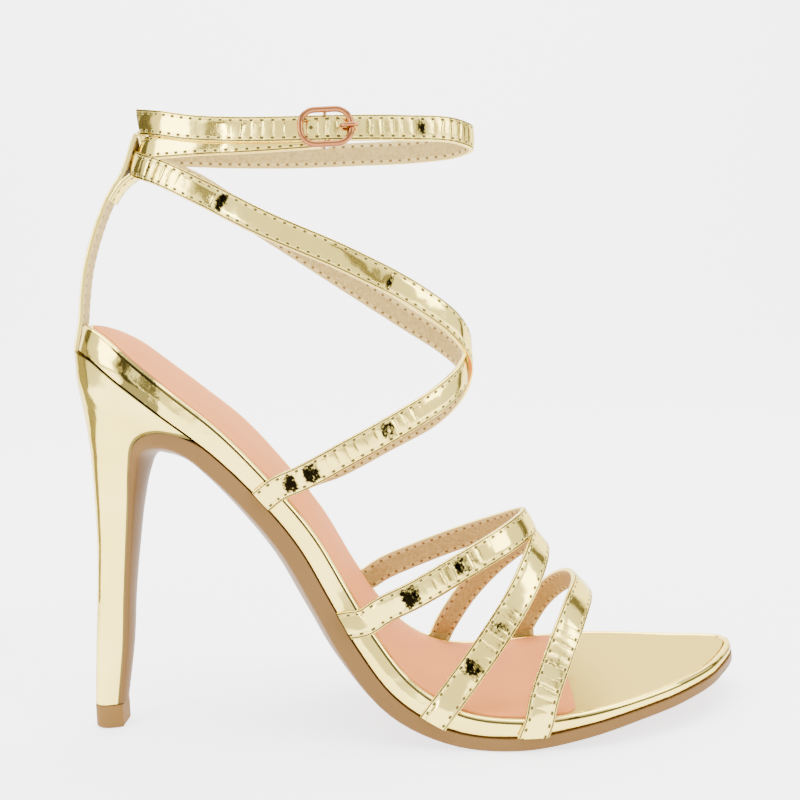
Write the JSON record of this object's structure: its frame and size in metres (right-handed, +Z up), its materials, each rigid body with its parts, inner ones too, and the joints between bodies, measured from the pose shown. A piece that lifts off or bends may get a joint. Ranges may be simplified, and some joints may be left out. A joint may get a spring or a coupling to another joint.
{
  "type": "high-heeled strappy sandal",
  "caption": "Metallic stiletto sandal with criss-cross ankle straps, arched toe straps, a pointed open toe and a small side buckle.",
  "frame": {"origin": "middle of the heel tip's tread, on the floor", "axes": "+X towards the toe, +Y towards the inner side of the foot, +Z up"},
  "size_m": [0.1985, 0.0775, 0.1838],
  "materials": {
    "board_cover": "mirror metallic foil",
    "sock_lining": "matte smooth lining",
    "outsole_sheet": "satin",
    "heel_cover": "mirror metallic foil",
    "heel_tread": "matte",
    "strap_leather": "mirror metallic foil with a tan lining",
    "buckle_metal": "polished rose gold"
  },
  "bodies": {
    "root": {"insole_board": "board_cover", "sock": "sock_lining", "outsole": "outsole_sheet", "heel": "heel_cover", "top_piece": "heel_tread", "ankle_straps": "strap_leather", "vamp_straps": "strap_leather", "toe_strap": "strap_leather", "buckle": "buckle_metal"}
  },
  "joints": []
}
